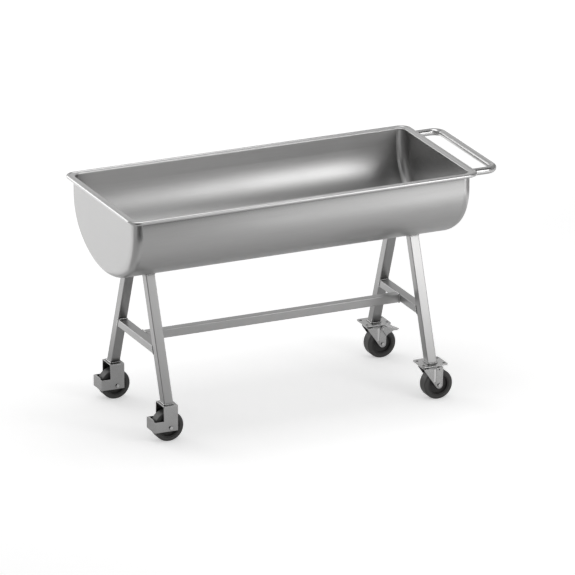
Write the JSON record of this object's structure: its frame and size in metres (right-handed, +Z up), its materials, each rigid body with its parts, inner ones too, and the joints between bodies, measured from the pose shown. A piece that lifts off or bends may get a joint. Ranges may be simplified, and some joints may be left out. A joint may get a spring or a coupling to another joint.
{
  "type": "dough trough",
  "caption": "Mobile round-bottomed stainless dough trough on two leaning A-frames, with rigid and swivel casters, a pedal brake and a push handle.",
  "frame": {"origin": "on the floor, under the middle of the whole object's box", "axes": "+Z up; +X along the trough towards the push handle and the swivel casters; +Y across it to the far side"},
  "size_m": [1.646, 0.7, 0.958],
  "materials": {
    "brushed_sheet": "satin brushed stainless sheet",
    "polished_rim": "finely polished stainless",
    "polished_tube": "finely polished stainless tube",
    "frame_tube": "brushed stainless square tube",
    "fork_plate": "satin stainless plate",
    "fastener": "plain stainless fasteners",
    "bearing_steel": "ground bearing steel",
    "tyre_rubber": "dark grey hard rubber",
    "wheel_plastic": "dark grey moulded nylon"
  },
  "bodies": {
    "frame": {"trough_shell": "brushed_sheet", "end_wall_left": "brushed_sheet", "end_wall_right": "brushed_sheet", "rim": "polished_rim", "push_handle": "polished_tube", "leg_left_near": "frame_tube", "leg_left_far": "frame_tube", "leg_right_near": "frame_tube", "leg_right_far": "frame_tube", "crossbar_left": "frame_tube", "crossbar_right": "frame_tube", "stretcher": "frame_tube", "rigid_fork_near": "fork_plate", "rigid_fork_far": "fork_plate", "rigid_axle_near": "fastener", "rigid_axle_far": "fastener", "rigid_nut_near": "fastener", "rigid_nut_far": "fastener", "rigid_sleeve_near": "fastener", "rigid_sleeve_far": "fastener", "rigid_spacers_near": "fastener", "rigid_spacers_far": "fastener", "top_plate_near": "fork_plate", "top_plate_far": "fork_plate", "upper_race_near": "bearing_steel", "upper_race_far": "bearing_steel", "kingpin_near": "fastener", "kingpin_far": "fastener", "kingpin_nut_near": "fastener", "kingpin_nut_far": "fastener"},
    "rigid_wheel_near": {"rigid_tyre_near": "tyre_rubber", "rigid_wheel_near": "wheel_plastic"},
    "rigid_wheel_far": {"rigid_tyre_far": "tyre_rubber", "rigid_wheel_far": "wheel_plastic"},
    "swivel_near": {"swivel_fork_near": "fork_plate", "lower_race_near": "bearing_steel", "balls_near": "bearing_steel", "swivel_axle_near": "fastener", "swivel_nut_near": "fastener", "swivel_sleeve_near": "fastener", "swivel_washers_near": "fastener"},
    "swivel_far": {"swivel_fork_far": "fork_plate", "lower_race_far": "bearing_steel", "balls_far": "bearing_steel", "swivel_axle_far": "fastener", "swivel_nut_far": "fastener", "swivel_sleeve_far": "fastener", "swivel_washers_far": "fastener", "brake_pin": "fastener"},
    "swivel_wheel_near": {"swivel_tyre_near": "tyre_rubber", "swivel_wheel_near": "wheel_plastic"},
    "swivel_wheel_far": {"swivel_tyre_far": "tyre_rubber", "swivel_wheel_far": "wheel_plastic"},
    "brake": {"brake_pedal": "fork_plate", "brake_shoe": "tyre_rubber"}
  },
  "joints": [
    {"name": "rigid_roll_near", "type": "hinge", "parent": "frame", "child": "rigid_wheel_near", "pos_m": [-0.6415, -0.27, 0.0625], "axis": [0, 1, 0], "continuous": true},
    {"name": "rigid_roll_far", "type": "hinge", "parent": "frame", "child": "rigid_wheel_far", "pos_m": [-0.6415, 0.27, 0.0625], "axis": [0, 1, 0], "continuous": true},
    {"name": "swivel_near", "type": "hinge", "parent": "frame", "child": "swivel_near", "pos_m": [0.5195, -0.27, 0.14], "axis": [0, 0, 1], "continuous": true},
    {"name": "swivel_far", "type": "hinge", "parent": "frame", "child": "swivel_far", "pos_m": [0.5195, 0.27, 0.14], "axis": [0, 0, 1], "continuous": true},
    {"name": "swivel_roll_near", "type": "hinge", "parent": "swivel_near", "child": "swivel_wheel_near", "pos_m": [0.545, -0.27, 0.0625], "axis": [0, 1, 0], "continuous": true},
    {"name": "swivel_roll_far", "type": "hinge", "parent": "swivel_far", "child": "swivel_wheel_far", "pos_m": [0.545, 0.27, 0.0625], "axis": [0, 1, 0], "continuous": true},
    {"name": "brake_press", "type": "hinge", "parent": "swivel_far", "child": "brake", "pos_m": [0.545, 0.27, 0.1295], "axis": [0, 1, 0], "range_deg": [0, 10]}
  ]
}
